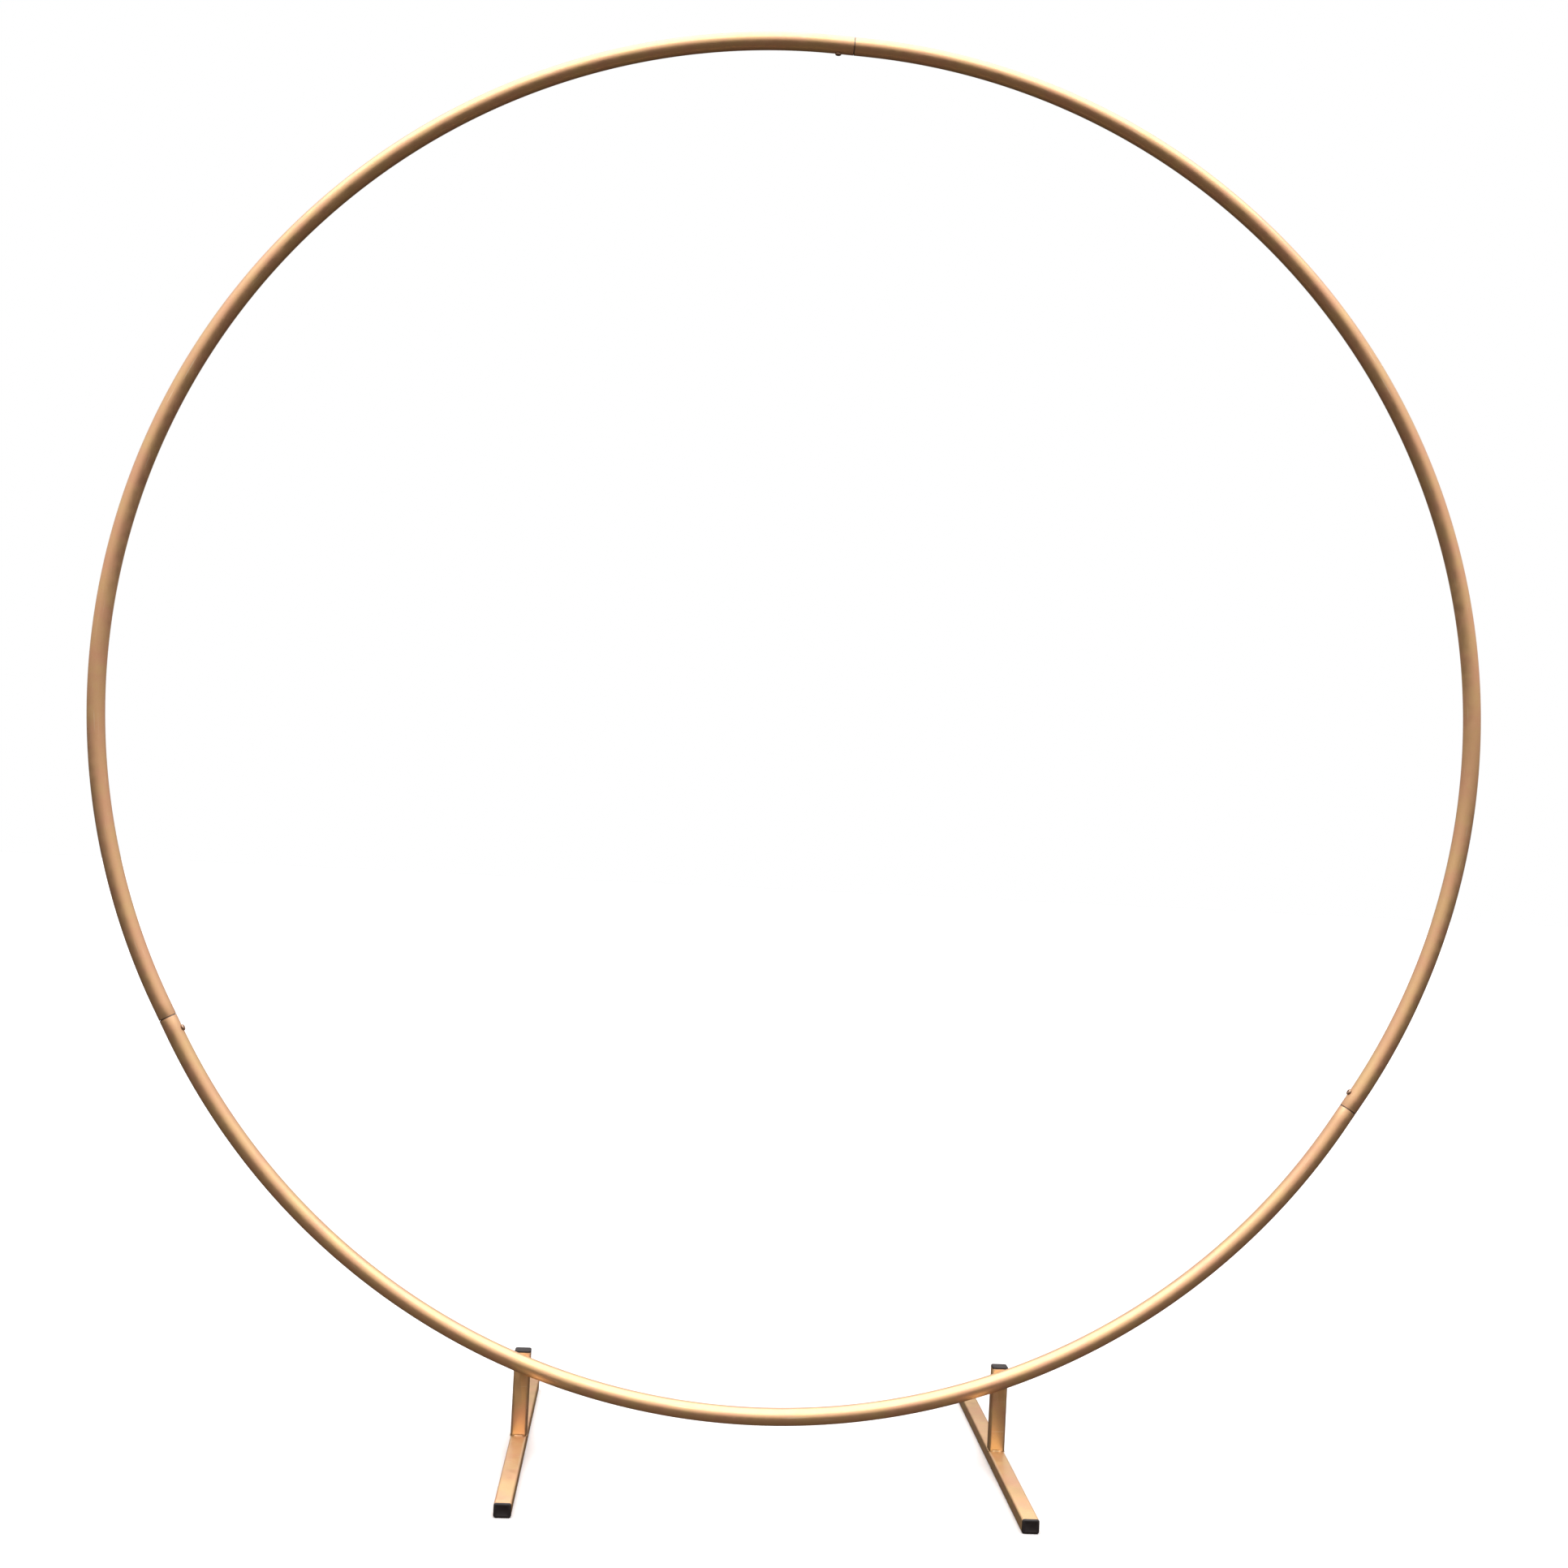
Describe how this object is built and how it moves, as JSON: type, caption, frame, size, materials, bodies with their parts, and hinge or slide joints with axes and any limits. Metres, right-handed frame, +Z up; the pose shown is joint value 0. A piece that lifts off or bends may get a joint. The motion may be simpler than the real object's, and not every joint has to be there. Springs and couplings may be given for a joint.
{
  "type": "round wreath frame on feet",
  "caption": "Round metal ring frame for hanging wreaths and flowers, joined from bent tube arcs and standing on T-shaped feet that swing on bolts.",
  "frame": {"origin": "on the floor, midway between the two feet and midway along them", "axes": "+Z up; +X to the right as seen from the front; +Y from the ring's front towards its back, along the feet"},
  "size_m": [2.0028, 0.58, 2.0473],
  "materials": {
    "gold_paint": "satin metallic gold paint over steel tube",
    "black_plastic": "fine-textured black moulded plastic",
    "zinc_plate": "bright zinc plate",
    "dark_screw": "bronze-coloured plate on steel, dark in the shade"
  },
  "bodies": {
    "ring": {"arc_tube_bottom": "gold_paint", "arc_tube_left": "gold_paint", "arc_tube_right": "gold_paint", "joint_sleeve_top": "zinc_plate", "joint_nut_top": "zinc_plate", "joint_screw_top": "dark_screw", "joint_sleeve_lower_left": "zinc_plate", "joint_nut_lower_left": "zinc_plate", "joint_screw_lower_left": "dark_screw", "joint_sleeve_lower_right": "zinc_plate", "joint_nut_lower_right": "zinc_plate", "joint_screw_lower_right": "dark_screw", "ring_rivet_nut_left": "zinc_plate", "ring_rivet_nut_right": "zinc_plate"},
    "left_foot": {"foot_bar_left": "gold_paint", "upright_left": "gold_paint", "upright_plug_left": "black_plastic", "foot_plug_left_front": "black_plastic", "foot_plug_left_rear": "black_plastic"},
    "left_bolt_washer": {"bolt_washer_left": "zinc_plate"},
    "left_foot_bolt": {"foot_bolt_left": "zinc_plate"},
    "right_foot": {"foot_bar_right": "gold_paint", "upright_right": "gold_paint", "upright_plug_right": "black_plastic", "foot_plug_right_front": "black_plastic", "foot_plug_right_rear": "black_plastic"},
    "right_bolt_washer": {"bolt_washer_right": "zinc_plate"},
    "right_foot_bolt": {"foot_bolt_right": "zinc_plate"}
  },
  "joints": [
    {"name": "left_foot_swivel", "type": "hinge", "parent": "ring", "child": "left_foot", "pos_m": [-0.344, 0, 0.12526], "axis": [0, 1, 0], "range_deg": [-59, 101]},
    {"name": "left_bolt_draw", "type": "slide", "parent": "ring", "child": "left_bolt_washer", "axis": [0, 1, 0], "range_m": [0, 0.01]},
    {"name": "left_bolt_turn", "type": "hinge", "parent": "left_bolt_washer", "child": "left_foot_bolt", "pos_m": [-0.344, 0, 0.12526], "axis": [0, 1, 0], "range_deg": [0, 3600]},
    {"name": "right_foot_swivel", "type": "hinge", "parent": "ring", "child": "right_foot", "pos_m": [0.344, 0, 0.12526], "axis": [0, 1, 0], "range_deg": [-101, 59]},
    {"name": "right_bolt_draw", "type": "slide", "parent": "ring", "child": "right_bolt_washer", "axis": [0, 1, 0], "range_m": [0, 0.01]},
    {"name": "right_bolt_turn", "type": "hinge", "parent": "right_bolt_washer", "child": "right_foot_bolt", "pos_m": [0.344, 0, 0.12526], "axis": [0, 1, 0], "range_deg": [0, 3600]}
  ],
  "couplings": [
    {"joint": "left_bolt_turn", "follows": "left_bolt_draw", "rad_per_m": 6283.1},
    {"joint": "right_bolt_turn", "follows": "right_bolt_draw", "rad_per_m": 6283.1}
  ]
}
